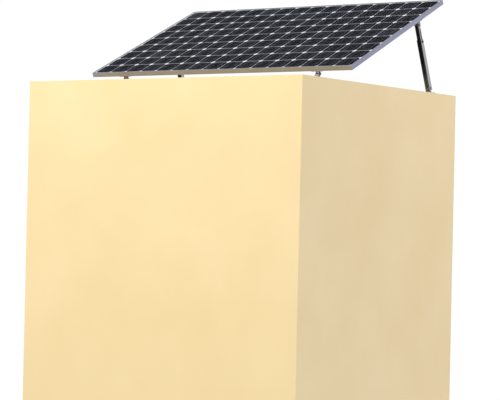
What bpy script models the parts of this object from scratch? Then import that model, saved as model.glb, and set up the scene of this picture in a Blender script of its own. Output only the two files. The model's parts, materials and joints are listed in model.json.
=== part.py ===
"""Framed solar panel on four adjustable roof feet.

Two short front feet carry the lower frame member on hinge bolts, and two telescoping
rear legs set the tilt.  Metres, +Z up, X across the panel, +Y towards its raised side,
and the roof surface that the feet stand on is the plane Z = 0.
"""
import math

import bmesh
import bpy
from mathutils import Matrix, Vector

# Driving dimensions.
COLUMNS = 16                     # solar cells across the panel
ROWS = 9                         # solar cells up the slope
PITCH_X = 0.130
PITCH_V = 0.1473
EDGE_MARGIN = 0.015              # outer edge of the frame to the first cell
FRAME_DEPTH = 0.032
TILT = math.radians(24.2)        # of the panel to the roof surface
FRONT_CLEARANCE = 0.076          # roof to the underside of the lower frame member
LEG_LEAN = math.radians(23.4)    # of the rear leg, its top forward
LEG_INSET = 0.0235               # panel side to the leg's middle
FRONT_FOOT_INSET = 0.272         # panel side to the front foot's middle
GAP = 0.0003                     # between pieces that touch

# Panel outline.
WIDTH = COLUMNS * PITCH_X + 2 * EDGE_MARGIN
LENGTH = ROWS * PITCH_V + 2 * EDGE_MARGIN

# Frame section: distances in from the outer face, and down from the top face.
WALL = 0.0016
WEB = 0.0014
LIP = 0.0092
FLANGE = 0.030
SHELF_TOP = 0.00895
CHAMBER_TOP = SHELF_TOP + WEB
CHAMBER_BOTTOM = 0.0210
KEY_ARM = 0.060

# Laminate, as layers from the lip downwards: name, thickness.
LAMINATE_INSET = 0.003
GASKET = 0.0005
GLASS = 0.0032
ENCAPSULANT = 0.00045
CELL = 0.0003
BACKSHEET = 0.00035

# Cells and their ribbons.
COLUMN_GAP = 0.0027
ROW_GAP = 0.0032
CORNER_CUT = 0.016
STRINGS_PER_GROUP = 4
TAB = 0.020
RIBBON_NEAR = 0.0043             # beyond the last cell
RIBBON_FAR = 0.0083

# Feet.
PAD = 0.003
PLATE = 0.004
PLATE_BOTTOM = PAD + GAP
PLATE_TOP = PLATE_BOTTOM + PLATE
BRACKET_PLATE = 0.003
EAR_RADIUS = 0.009               # round a pivot bolt
BOLT_RADIUS = 0.004
HOLE_RADIUS = BOLT_RADIUS + GAP
SMALL_BOLT_RADIUS = 0.003
SCREW_HOLE_RADIUS = 0.0035

# Front feet and their hinge.
HINGE_V = 0.018                  # up the slope from the lower edge
HINGE_DROP = 0.024               # below the underside of the frame
FOOT_LEAN = math.radians(42)
FOOT_WIDTH = 0.030
FOOT_CHEEK = 0.0035
FOOT_RADIUS = 0.010

# Rear legs.
TOP_PIVOT_V = 0.981
TOP_PIVOT_DROP = 0.026
REAR_PIVOT_Z = 0.035
CHANNEL_WALL = 0.0022
OUTER_WIDTH = 0.034
OUTER_DEPTH = 0.034
INNER_WIDTH = OUTER_WIDTH - 2 * CHANNEL_WALL - 2 * GAP
INNER_DEPTH = 0.027
STEP_BELOW_TOP_PIVOT = 0.104     # top pivot to the outer channel's upper end
INNER_LENGTH_BELOW = 0.330       # top pivot to the inner channel's lower end
INNER_LENGTH_ABOVE = 0.019
CHANNEL_FOOT = 0.018             # foot pivot to the outer channel's lower end
LOCK_BELOW_STEP = 0.015
SLOT_TOP = 0.030                 # lock slot in the inner channel, below the top pivot
SLOT_BOTTOM = 0.265
PIVOT_SLOT_REACH = 0.0055        # how far the top bolt slides back in its bracket
PIVOT_SLOT_PLAY = 0.0007         # clearance over and under the top bolt
LEG_BRACKET_WIDTH = INNER_WIDTH + 2 * GAP + 2 * BRACKET_PLATE   # its ears hold the leg between
REAR_EAR_WIDTH = INNER_WIDTH     # the foot's ears stand inside the outer channel
REAR_EAR_RADIUS = 0.011

# Junction box, under the upper middle of the laminate.
BOX_WIDTH = 0.110
BOX_LENGTH = 0.090
BOX_DEPTH = 0.0175
BOX_WALL = 0.002
BOX_V = LENGTH - 0.135
LID = 0.0022
GLAND_OFFSET = 0.032             # each gland to the box's middle
GLAND_RADIUS = 0.0062
GLAND_NUT = 0.0085
GLAND_CAP = 0.0078
CABLE_BORE = 0.0032


def slope_point(v, w):
    """Y and Z of a point v up the slope and w above the frame's underside, before centring."""
    return (v * math.cos(TILT) - w * math.sin(TILT),
            FRONT_CLEARANCE + v * math.sin(TILT) + w * math.cos(TILT))


# Places that follow from the driving dimensions, before the object is centred in Y.
HINGE_Y, HINGE_Z = slope_point(HINGE_V, -HINGE_DROP)
TOP_PIVOT_Y, TOP_PIVOT_Z = slope_point(TOP_PIVOT_V, -TOP_PIVOT_DROP)
LEG_LENGTH = (TOP_PIVOT_Z - REAR_PIVOT_Z) / math.cos(LEG_LEAN)
REAR_PIVOT_Y = TOP_PIVOT_Y + LEG_LENGTH * math.sin(LEG_LEAN)
FOOT_BASE_Y = HINGE_Y - (HINGE_Z - PLATE_TOP) * math.tan(FOOT_LEAN)
FRONT_PLATE = (0.084, 0.058)     # across, fore and aft
REAR_PLATE = (0.044, 0.112)
BACK_Y = slope_point(LENGTH, 0)[0]
FRONT_Y = FOOT_BASE_Y - FRONT_PLATE[1] / 2
CENTRE_Y = (FRONT_Y + BACK_Y) / 2
LEG_X = WIDTH / 2 - LEG_INSET
FRONT_FOOT_X = WIDTH / 2 - FRONT_FOOT_INSET
SIDES = (("left", -1), ("right", 1))

FINISHES = {                     # colour, roughness, metallic
    "anodised": ((0.60, 0.60, 0.66), 0.34, 1.0),
    "mill": ((0.55, 0.55, 0.58), 0.40, 1.0),
    "galvanised": ((0.46, 0.45, 0.47), 0.48, 1.0),
    "black_oxide": ((0.03, 0.03, 0.032), 0.45, 0.9),
    "glass": ((0.05, 0.06, 0.08), 0.06, 0.0),
    "cell": ((0.012, 0.014, 0.022), 0.22, 0.0),
    "ribbon": ((0.62, 0.62, 0.60), 0.30, 1.0),
    "encapsulant": ((0.80, 0.80, 0.78), 0.35, 0.0),
    "backsheet": ((0.82, 0.82, 0.80), 0.55, 0.0),
    "rubber": ((0.02, 0.02, 0.02), 0.80, 0.0),
    "plastic": ((0.025, 0.025, 0.027), 0.42, 0.0),
    "board": ((0.05, 0.16, 0.08), 0.50, 0.0),
}


def clear_scene():
    for existing in list(bpy.data.objects):
        bpy.data.objects.remove(existing, do_unlink=True)


def new_collection(name):
    collection = bpy.data.collections.new(name)
    bpy.context.scene.collection.children.link(collection)
    return collection


def new_object(name, mesh, parent, finish=None):
    """A part with its own material, or a cutter when it has no finish."""
    piece = bpy.data.objects.new(name, mesh)
    piece.parent = parent
    if finish is None:
        CUTTERS.objects.link(piece)
        piece.hide_render = True
        piece.display_type = "WIRE"
        return piece
    PARTS.objects.link(piece)
    colour, roughness, metallic = FINISHES[finish]
    material = bpy.data.materials.new(name + "_material")
    material.use_nodes = True
    shader = material.node_tree.nodes["Principled BSDF"]
    shader.inputs["Base Color"].default_value = (*colour, 1)
    shader.inputs["Roughness"].default_value = roughness
    shader.inputs["Metallic"].default_value = metallic
    mesh.materials.append(material)
    return piece


def axis_empty(name, location, lean, parent=None):
    empty = bpy.data.objects.new(name, None)
    empty.location = location
    empty.rotation_euler.x = lean
    empty.parent = parent
    PARTS.objects.link(empty)
    return empty


def box_mesh(low, high):
    """A box from its lowest to its highest corner."""
    low = Vector(low)
    high = Vector(high)
    mesh = bpy.data.meshes.new("box")
    solid = bmesh.new()
    bmesh.ops.create_cube(solid, size=1)
    bmesh.ops.scale(solid, vec=high - low, verts=solid.verts)
    bmesh.ops.translate(solid, vec=(low + high) / 2, verts=solid.verts)
    solid.to_mesh(mesh)
    solid.free()
    return mesh


def cylinder_mesh(radius, bottom, top, segments=20, axis="Z", centre=(0, 0, 0)):
    """A cylinder along one axis, from bottom to top along it."""
    mesh = bpy.data.meshes.new("cylinder")
    solid = bmesh.new()
    bmesh.ops.create_cone(solid, cap_ends=True, segments=segments, radius1=radius,
                          radius2=radius, depth=top - bottom)
    bmesh.ops.translate(solid, vec=(0, 0, (top + bottom) / 2), verts=solid.verts)
    turn = {"X": Matrix.Rotation(math.pi / 2, 3, "Y"),
            "Y": Matrix.Rotation(-math.pi / 2, 3, "X"),
            "Z": Matrix.Identity(3)}[axis]
    bmesh.ops.rotate(solid, matrix=turn, verts=solid.verts)
    bmesh.ops.translate(solid, vec=centre, verts=solid.verts)
    solid.to_mesh(mesh)
    solid.free()
    return mesh


def prism_mesh(outline, bottom, top, frame=None, openings=()):
    """A flat outline, with its openings, given thickness from bottom to top along Z.

    frame turns the outline's X and Y and the thickness into other directions.
    """
    curve = bpy.data.curves.new("outline", "CURVE")
    curve.dimensions = "2D"
    curve.fill_mode = "BOTH"
    curve.extrude = (top - bottom) / 2
    for loop in (outline, *openings):
        spline = curve.splines.new("POLY")
        spline.points.add(len(loop) - 1)
        for point, (x, y) in zip(spline.points, loop):
            point.co = (x, y, 0, 1)
        spline.use_cyclic_u = True
    holder = bpy.data.objects.new("outline", curve)
    CUTTERS.objects.link(holder)
    bpy.context.view_layer.update()
    depsgraph = bpy.context.evaluated_depsgraph_get()
    mesh = bpy.data.meshes.new_from_object(holder.evaluated_get(depsgraph))
    bpy.data.objects.remove(holder, do_unlink=True)
    solid = bmesh.new()
    solid.from_mesh(mesh)
    bmesh.ops.remove_doubles(solid, verts=solid.verts, dist=0.00001)
    bmesh.ops.translate(solid, vec=(0, 0, (top + bottom) / 2), verts=solid.verts)
    if frame:
        bmesh.ops.transform(solid, matrix=frame, verts=solid.verts)
    bmesh.ops.recalc_face_normals(solid, faces=solid.faces)
    solid.to_mesh(mesh)
    solid.free()
    return mesh


# Turns an outline drawn in Y and Z into a plate whose thickness runs along X.
ACROSS = Matrix(((0, 0, 1, 0), (1, 0, 0, 0), (0, 1, 0, 0), (0, 0, 0, 1)))


def combine(target, meshes, operation):
    """Unites or cuts a part with meshes that share its place."""
    for mesh in meshes:
        label = f"{operation.lower()}_{len(target.modifiers) + 1}"
        modifier = target.modifiers.new(label, "BOOLEAN")
        modifier.operation = operation
        modifier.object = new_object(f"{target.name}_{label}", mesh, target.parent)


def bolt(name, radius, grip, parent, axis="Z", centre=(0, 0, 0), finish="galvanised"):
    """A hexagon bolt with its nut done up, both clear of what they clamp."""
    head = radius * 1.3
    spread = radius * 1.9
    end = grip / 2 + GAP
    piece = new_object(name, cylinder_mesh(radius, -end - head / 2, end + head / 2, 16,
                                           axis, centre), parent, finish)
    combine(piece, [cylinder_mesh(spread, end, end + head, 6, axis, centre),
                    cylinder_mesh(spread, -end - head, -end, 6, axis, centre)], "UNION")
    return piece


def frame_member(name, length, corner, inward, parent, holes):
    """One mitred frame extrusion, its outer face running out from a corner of the panel."""
    outline = [(0, 0), (LIP, 0), (LIP, -WALL), (WALL, -WALL), (WALL, -SHELF_TOP),
               (LIP, -SHELF_TOP), (LIP, -CHAMBER_BOTTOM - WEB), (WALL, -CHAMBER_BOTTOM - WEB),
               (WALL, WALL - FRAME_DEPTH), (FLANGE, WALL - FRAME_DEPTH),
               (FLANGE, -FRAME_DEPTH), (0, -FRAME_DEPTH)]
    chamber = [(WALL, -CHAMBER_TOP), (LIP - WEB, -CHAMBER_TOP),
               (LIP - WEB, -CHAMBER_BOTTOM), (WALL, -CHAMBER_BOTTOM)]
    mesh = prism_mesh(outline, -length / 2, length / 2, openings=[chamber])
    inward = Vector(inward)
    normal = Vector((0, 0, 1))
    along = inward.cross(normal)
    middle = Vector(corner)
    for vertex in mesh.vertices:
        depth_in, height, run = vertex.co
        run -= math.copysign(depth_in + GAP / 2, run)
        vertex.co = middle + inward * depth_in + normal * height + along * run
    piece = new_object(name, mesh, parent, "anodised")
    combine(piece, [cylinder_mesh(SMALL_BOLT_RADIUS + GAP, -FRAME_DEPTH - 0.002,
                                  -FRAME_DEPTH + 0.004, 16, centre=(x, y, 0))
                    for x, y in holes], "DIFFERENCE")
    return piece


def corner_key(name, sign_x, upper, parent):
    """The L-shaped key that holds two mitred members together, inside their chambers."""
    near = WALL + GAP
    far = LIP - WEB - GAP
    outline = [(near, near), (KEY_ARM, near), (KEY_ARM, far), (far, far), (far, KEY_ARM),
               (near, KEY_ARM)]
    if upper:
        outline = [(x, LENGTH - y) for x, y in outline]
    outline = [(sign_x * (WIDTH / 2 - x), y) for x, y in outline]
    mesh = prism_mesh(outline, -CHAMBER_BOTTOM + GAP, -CHAMBER_TOP - GAP)
    return new_object(name, mesh, parent, "mill")


def sheet(name, inset, top, thickness, parent, finish):
    mesh = box_mesh((-WIDTH / 2 + inset, inset, -top - thickness),
                    (WIDTH / 2 - inset, LENGTH - inset, -top))
    return new_object(name, mesh, parent, finish)


def column_side(centre, side, downwards):
    """The notched long side of one string of corner-cut cells."""
    edge = (PITCH_X - COLUMN_GAP) / 2
    points = []
    for row in range(ROWS):
        bottom = EDGE_MARGIN + row * PITCH_V + ROW_GAP / 2
        top = bottom + PITCH_V - ROW_GAP
        points += [(centre + side * (edge - CORNER_CUT), bottom),
                   (centre + side * edge, bottom + CORNER_CUT),
                   (centre + side * edge, top - CORNER_CUT),
                   (centre + side * (edge - CORNER_CUT), top)]
    return points[::-1] if downwards else points


def string_group_outline(centres):
    """Strings of cells joined end to end by ribbons, as one winding outline."""
    sides = ([], [])
    for number, centre in enumerate(centres):
        downwards = number % 2 == 0
        hand = 1 if downwards else -1
        sides[0].extend(column_side(centre, hand, downwards))
        sides[1].extend(column_side(centre, -hand, downwards))
        if number == len(centres) - 1:
            break
        inner, outer = sides if downwards else sides[::-1]
        cell_end = EDGE_MARGIN + ROW_GAP / 2 if downwards else LENGTH - EDGE_MARGIN - ROW_GAP / 2
        away = -1 if downwards else 1
        following = centres[number + 1]
        near = cell_end + away * RIBBON_NEAR
        far = cell_end + away * RIBBON_FAR
        inner.extend([(centre + TAB / 2, cell_end), (centre + TAB / 2, near),
                      (following - TAB / 2, near), (following - TAB / 2, cell_end)])
        outer.extend([(centre - TAB / 2, cell_end), (centre - TAB / 2, far),
                      (following + TAB / 2, far), (following + TAB / 2, cell_end)])
    return sides[0] + sides[1][::-1]


def ribbon_link(name, start, end, top, parent):
    """The ribbon that joins two string groups past their upper ends."""
    cell_end = LENGTH - EDGE_MARGIN - ROW_GAP / 2
    near = cell_end + RIBBON_NEAR
    far = cell_end + RIBBON_FAR
    foot = cell_end + GAP
    outline = [(start - TAB / 2, foot), (start + TAB / 2, foot), (start + TAB / 2, near),
               (end - TAB / 2, near), (end - TAB / 2, foot), (end + TAB / 2, foot),
               (end + TAB / 2, far), (start - TAB / 2, far)]
    return new_object(name, prism_mesh(outline, -top - CELL, -top), parent, "ribbon")


def laminate(parent):
    """Gasket, glass, encapsulant, cells and backsheet, each a gap below the last."""
    gasket_top = WALL + GAP
    glass_top = gasket_top + GASKET + GAP
    front_top = glass_top + GLASS + GAP
    cell_top = front_top + ENCAPSULANT + GAP
    rear_top = cell_top + CELL + GAP
    backsheet_top = rear_top + ENCAPSULANT + GAP
    outer = WALL + GAP
    inner = LIP - 0.001
    ring = [[(-WIDTH / 2 + inset, inset), (WIDTH / 2 - inset, inset),
             (WIDTH / 2 - inset, LENGTH - inset), (-WIDTH / 2 + inset, LENGTH - inset)]
            for inset in (outer, inner)]
    new_object("edge_gasket", prism_mesh(ring[0], -gasket_top - GASKET, -gasket_top,
                                         openings=[ring[1]]), parent, "rubber")
    sheet("cover_glass", LAMINATE_INSET, glass_top, GLASS, parent, "glass")
    sheet("encapsulant_front", LAMINATE_INSET, front_top, ENCAPSULANT, parent, "encapsulant")
    centres = [(column + 0.5) * PITCH_X - WIDTH / 2 + EDGE_MARGIN for column in range(COLUMNS)]
    groups = [centres[first:first + STRINGS_PER_GROUP]
              for first in range(0, COLUMNS, STRINGS_PER_GROUP)]
    for number, group in enumerate(groups, 1):
        mesh = prism_mesh(string_group_outline(group), -cell_top - CELL, -cell_top)
        new_object(f"cell_strings_{number}", mesh, parent, "cell")
        if number < len(groups):
            ribbon_link(f"string_link_{number}", group[-1], groups[number][0], cell_top, parent)
    sheet("encapsulant_rear", LAMINATE_INSET, rear_top, ENCAPSULANT, parent, "encapsulant")
    sheet("backsheet", LAMINATE_INSET, backsheet_top, BACKSHEET, parent, "backsheet")
    return backsheet_top + BACKSHEET + GAP


def junction_box(top, parent):
    """Tray, diode board, lid and two glands, hanging under the backsheet."""
    half_width = BOX_WIDTH / 2
    half_length = BOX_LENGTH / 2
    bottom = top + BOX_DEPTH
    low = BOX_V - half_length
    high = BOX_V + half_length
    tray = new_object("junction_box_tray", box_mesh((-half_width, low, -bottom),
                                                    (half_width, high, -top)), parent, "plastic")
    hollow = box_mesh((-half_width + BOX_WALL, low + BOX_WALL, -bottom - BOX_WALL),
                      (half_width - BOX_WALL, high - BOX_WALL, -top - BOX_WALL))
    axis_height = -(top + bottom) / 2
    bores = [cylinder_mesh(GLAND_RADIUS + GAP, -0.004, 0.004, 20, "Y",
                           (offset, low + BOX_WALL / 2, axis_height))
             for offset in (-GLAND_OFFSET, GLAND_OFFSET)]
    combine(tray, [hollow, *bores], "DIFFERENCE")
    lid = new_object("junction_box_lid", box_mesh((-half_width, low, -bottom - GAP - LID),
                                                  (half_width, high, -bottom - GAP)),
                     parent, "plastic")
    bevel = lid.modifiers.new("Edges", "BEVEL")
    bevel.width = 0.0008
    bevel.segments = 1
    board_top = top + BOX_WALL + GAP
    board = new_object("diode_board", box_mesh((-0.040, BOX_V - 0.025, -board_top - 0.002),
                                               (0.040, BOX_V + 0.025, -board_top)),
                       parent, "board")
    diodes = [cylinder_mesh(0.0028, -0.009, 0.009, 12, "Y",
                            (offset, BOX_V, -board_top - 0.0035))
              for offset in (-0.024, -0.008, 0.008, 0.024)]
    combine(board, diodes, "UNION")
    for side, sign in SIDES:
        place = (sign * GLAND_OFFSET, low, axis_height)
        gland = new_object(f"cable_gland_{side}",
                           cylinder_mesh(GLAND_RADIUS, -0.018, 0.006, 20, "Y", place),
                           parent, "plastic")
        combine(gland, [cylinder_mesh(GLAND_NUT, -0.0070, -GAP, 6, "Y", place),
                        cylinder_mesh(GLAND_CAP, -0.0185, -0.0085, 12, "Y", place)], "UNION")
        combine(gland, [cylinder_mesh(CABLE_BORE, -0.030, 0.020, 16, "Y", place)], "DIFFERENCE")


def rounded_ear(centre_y, centre_z, radius, base_z, half_base, steps=10):
    """An ear's outline in Y and Z: a round end about a centre, and a straight base."""
    upwards = 1 if centre_z > base_z else -1
    arc = [(centre_y + radius * math.cos(math.pi * step / steps),
            centre_z + upwards * radius * math.sin(math.pi * step / steps))
           for step in range(steps + 1)]
    return arc + [(centre_y - half_base, base_z), (centre_y + half_base, base_z)]


def panel_bracket(name, x, v, drop, width, plate_x, plate_v, bolts, parent, slot=0):
    """A folded bracket under a frame flange, with two ears that hang round a pivot bolt."""
    cheek = BRACKET_PLATE
    radius = EAR_RADIUS
    top = -FRAME_DEPTH - GAP
    bottom = top - BRACKET_PLATE
    pivot = -FRAME_DEPTH - drop
    middle = v + slot / 2
    round_end = radius + slot / 2
    outline = rounded_ear(middle, pivot, round_end, bottom + 0.001, round_end + 0.003)
    piece = new_object(name, prism_mesh(outline, x - width / 2, x + width / 2, ACROSS),
                       parent, "galvanised")
    reach = radius + slot + 0.020
    between = box_mesh((x - width / 2 + cheek, middle - reach, pivot - reach),
                       (x + width / 2 - cheek, middle + reach, bottom))
    combine(piece, [between], "DIFFERENCE")
    combine(piece, [box_mesh((plate_x[0], plate_v[0], bottom), (plate_x[1], plate_v[1], top))],
            "UNION")
    play = PIVOT_SLOT_PLAY if slot else 0
    hole = HOLE_RADIUS + play
    cuts = [cylinder_mesh(hole, x - width, x + width, 20, "X", (0, v, pivot))]
    if slot:
        cuts.append(cylinder_mesh(hole, x - width, x + width, 20, "X", (0, v + slot, pivot)))
        cuts.append(box_mesh((x - width, v, pivot - hole), (x + width, v + slot, pivot + hole)))
    cuts += [cylinder_mesh(SMALL_BOLT_RADIUS + GAP, bottom - 0.002, top + 0.002, 16,
                           centre=(bolt_x, bolt_v, 0)) for bolt_x, bolt_v in bolts]
    combine(piece, cuts, "DIFFERENCE")


def foot_pad(name, x, y, plate):
    half_x = plate[0] / 2
    half_y = plate[1] / 2
    return new_object(name, box_mesh((x - half_x, y - half_y, 0), (x + half_x, y + half_y, PAD)),
                      None, "rubber")


def plate_mesh(x, y, plate):
    half_x = plate[0] / 2
    half_y = plate[1] / 2
    return box_mesh((x - half_x, y - half_y, PLATE_BOTTOM), (x + half_x, y + half_y, PLATE_TOP))


def screw_holes(*places):
    """Cutters for the roof screws, through a base plate."""
    return [cylinder_mesh(SCREW_HOLE_RADIUS, 0, 3 * PLATE, 16, centre=(x, y, 0))
            for x, y in places]


def front_foot(side, sign):
    """A base plate with a short leaning channel, whose cheeks hold the hinge bolt."""
    x = sign * FRONT_FOOT_X
    pivot = Vector((HINGE_Y - CENTRE_Y, HINGE_Z))
    lean = Vector((math.sin(FOOT_LEAN), math.cos(FOOT_LEAN)))
    across = Vector((math.cos(FOOT_LEAN), -math.sin(FOOT_LEAN)))
    steps = 10
    outline = []
    for step in range(steps + 1):
        turn = math.pi * (1 - step / steps)
        outline.append(pivot + FOOT_RADIUS * (math.cos(turn) * across + math.sin(turn) * lean))
    base = PLATE_TOP - 0.001
    for start in (outline[-1], outline[0]):
        outline.append(start - lean * ((start.y - base) / lean.y))
    mesh = prism_mesh([tuple(point) for point in outline], x - FOOT_WIDTH / 2, x + FOOT_WIDTH / 2,
                      ACROSS)
    foot = new_object(f"front_foot_{side}", mesh, None, "galvanised")
    inside = FOOT_WIDTH / 2 - FOOT_CHEEK
    far = 0.120

    def leaning_cutter(across_low, across_high, lean_low, lean_high):
        corners = [pivot + across * a + lean * b
                   for a, b in ((across_low, lean_low), (across_high, lean_low),
                                (across_high, lean_high), (across_low, lean_high))]
        return prism_mesh([tuple(corner) for corner in corners], x - inside, x + inside, ACROSS)

    combine(foot, [leaning_cutter(FOOT_CHEEK - FOOT_RADIUS, far, -far, far),
                   leaning_cutter(-far, far, -FOOT_RADIUS - 0.0015, far)], "DIFFERENCE")
    base_y = FOOT_BASE_Y - CENTRE_Y
    combine(foot, [plate_mesh(x, base_y, FRONT_PLATE)], "UNION")
    hinge_hole = cylinder_mesh(HOLE_RADIUS, x - FOOT_WIDTH, x + FOOT_WIDTH, 20, "X",
                               (0, pivot.x, pivot.y))
    combine(foot, [hinge_hole, *screw_holes((x - 0.029, base_y), (x + 0.029, base_y))],
            "DIFFERENCE")
    foot_pad(f"front_foot_pad_{side}", x, base_y, FRONT_PLATE)
    bolt(f"front_hinge_bolt_{side}", BOLT_RADIUS, FOOT_WIDTH, None, "X",
         (x, pivot.x, pivot.y))


def rear_foot(side, sign):
    """A base plate with a short upright channel inside the leg, which holds its lower bolt."""
    x = sign * LEG_X
    y = REAR_PIVOT_Y - CENTRE_Y
    outline = rounded_ear(y, REAR_PIVOT_Z, REAR_EAR_RADIUS, PLATE_TOP - 0.001, 0.013)
    mesh = prism_mesh(outline, x - REAR_EAR_WIDTH / 2, x + REAR_EAR_WIDTH / 2, ACROSS)
    foot = new_object(f"rear_foot_{side}", mesh, None, "galvanised")
    inside = REAR_EAR_WIDTH / 2 - BRACKET_PLATE
    web_back = y - REAR_EAR_RADIUS + BRACKET_PLATE
    combine(foot, [box_mesh((x - inside, web_back, 0), (x + inside, y + 0.05, 0.10))],
            "DIFFERENCE")
    combine(foot, [plate_mesh(x, y, REAR_PLATE)], "UNION")
    pivot_hole = cylinder_mesh(HOLE_RADIUS, x - REAR_EAR_WIDTH, x + REAR_EAR_WIDTH, 20, "X",
                               (0, y, REAR_PIVOT_Z))
    combine(foot, [pivot_hole, *screw_holes((x, y - 0.041), (x, y + 0.041))], "DIFFERENCE")
    foot_pad(f"rear_foot_pad_{side}", x, y, REAR_PLATE)
    bolt(f"leg_foot_bolt_{side}", BOLT_RADIUS, OUTER_WIDTH, None, "X",
         (x, y, REAR_PIVOT_Z))


def channel_outline(width, depth):
    """A channel section, open towards -Y."""
    half = width / 2
    inside = half - CHANNEL_WALL
    back = depth / 2
    return [(-half, -back), (-inside, -back), (-inside, back - CHANNEL_WALL),
            (inside, back - CHANNEL_WALL), (inside, -back), (half, -back), (half, back),
            (-half, back)]


def slot_cutters(near, far, low, high):
    """The three shapes that cut one long slot through a channel between near and far."""
    return [box_mesh((near, -HOLE_RADIUS, low), (far, HOLE_RADIUS, high)),
            cylinder_mesh(HOLE_RADIUS, near, far, 16, "X", (0, 0, low)),
            cylinder_mesh(HOLE_RADIUS, near, far, 16, "X", (0, 0, high))]


def rear_leg(side, sign):
    """Two nested channels, a top bolt, and a lock bolt through their outward walls."""
    foot_axis = axis_empty(f"leg_foot_axis_{side}",
                           (sign * LEG_X, REAR_PIVOT_Y - CENTRE_Y, REAR_PIVOT_Z), LEG_LEAN)
    step = LEG_LENGTH - STEP_BELOW_TOP_PIVOT
    near, far = sorted((0, sign * OUTER_WIDTH))
    outer = new_object(f"leg_outer_channel_{side}",
                       prism_mesh(channel_outline(OUTER_WIDTH, OUTER_DEPTH), -CHANNEL_FOOT, step),
                       foot_axis, "anodised")
    lock = step - LOCK_BELOW_STEP
    combine(outer, [cylinder_mesh(HOLE_RADIUS, -OUTER_WIDTH, OUTER_WIDTH, 20, "X"),
                    cylinder_mesh(HOLE_RADIUS, near, far, 20, "X", (0, 0, lock))], "DIFFERENCE")
    between_walls = OUTER_WIDTH / 2 - CHANNEL_WALL - GAP / 2
    bolt(f"leg_lock_bolt_{side}", BOLT_RADIUS, 2 * CHANNEL_WALL + GAP, foot_axis, "X",
         (sign * between_walls, 0, lock), "black_oxide")
    slide_axis = axis_empty(f"leg_slide_axis_{side}", (0, 0, LEG_LENGTH), 0, foot_axis)
    inner = new_object(f"leg_inner_channel_{side}",
                       prism_mesh(channel_outline(INNER_WIDTH, INNER_DEPTH),
                                  -INNER_LENGTH_BELOW, INNER_LENGTH_ABOVE),
                       slide_axis, "anodised")
    combine(inner, [cylinder_mesh(HOLE_RADIUS, -INNER_WIDTH, INNER_WIDTH, 20, "X"),
                    *slot_cutters(near, far, -SLOT_BOTTOM, -SLOT_TOP)], "DIFFERENCE")
    bolt(f"leg_top_bolt_{side}", BOLT_RADIUS, LEG_BRACKET_WIDTH, slide_axis, "X")


def panel():
    """The framed laminate, its junction box and its brackets, hung on the front hinge."""
    tilt_axis = axis_empty("panel_tilt_axis", (0, HINGE_Y - CENTRE_Y, HINGE_Z), TILT)
    corner = axis_empty("panel_lower_edge", (0, -HINGE_V, FRAME_DEPTH + HINGE_DROP), 0, tilt_axis)
    front_bolts = {sign: [(sign * FRONT_FOOT_X + offset, FLANGE / 2 + 0.0015)
                          for offset in (-0.033, 0.033)] for _, sign in SIDES}
    side_bolts = {sign: [(sign * (WIDTH / 2 - FLANGE / 2), TOP_PIVOT_V + offset)
                         for offset in (-0.036, 0.036)] for _, sign in SIDES}
    frame_member("frame_lower", WIDTH, (0, 0, 0), (0, 1, 0), corner,
                 front_bolts[-1] + front_bolts[1])
    frame_member("frame_upper", WIDTH, (0, LENGTH, 0), (0, -1, 0), corner, [])
    for side, sign in SIDES:
        frame_member(f"frame_{side}", LENGTH, (sign * WIDTH / 2, LENGTH / 2, 0),
                     (-sign, 0, 0), corner, side_bolts[sign])
        corner_key(f"corner_key_lower_{side}", sign, False, corner)
        corner_key(f"corner_key_upper_{side}", sign, True, corner)
        ear_width = FOOT_WIDTH - 2 * FOOT_CHEEK - 2 * GAP
        panel_bracket(f"hinge_bracket_{side}", sign * FRONT_FOOT_X, HINGE_V, HINGE_DROP,
                      ear_width,
                      (sign * FRONT_FOOT_X - 0.045, sign * FRONT_FOOT_X + 0.045),
                      (0.003, 0.033), front_bolts[sign], corner)
        outer_edge = sign * (WIDTH / 2 - 0.002)
        inner_edge = sign * (WIDTH / 2 - 0.045)
        panel_bracket(f"leg_bracket_{side}", sign * LEG_X, TOP_PIVOT_V, TOP_PIVOT_DROP,
                      LEG_BRACKET_WIDTH,
                      tuple(sorted((outer_edge, inner_edge))),
                      (TOP_PIVOT_V - 0.046, TOP_PIVOT_V + 0.046), side_bolts[sign], corner,
                      PIVOT_SLOT_REACH)
        clamp = WALL + GAP + BRACKET_PLATE
        for place, spots in (("hinge", front_bolts[sign]), ("leg", side_bolts[sign])):
            for number, (x, v) in enumerate(spots, 1):
                bolt(f"{place}_bracket_bolt_{side}_{number}", SMALL_BOLT_RADIUS, clamp, corner,
                     "Z", (x, v, -FRAME_DEPTH + WALL - clamp / 2))
    junction_box(laminate(corner), corner)


clear_scene()
PARTS = new_collection("solar_panel")
CUTTERS = new_collection("cutters")
panel()
for side_name, side_sign in SIDES:
    front_foot(side_name, side_sign)
    rear_foot(side_name, side_sign)
    rear_leg(side_name, side_sign)
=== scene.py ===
import json
import math
import random

import bmesh
import bpy
from mathutils import Matrix, Vector

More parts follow.
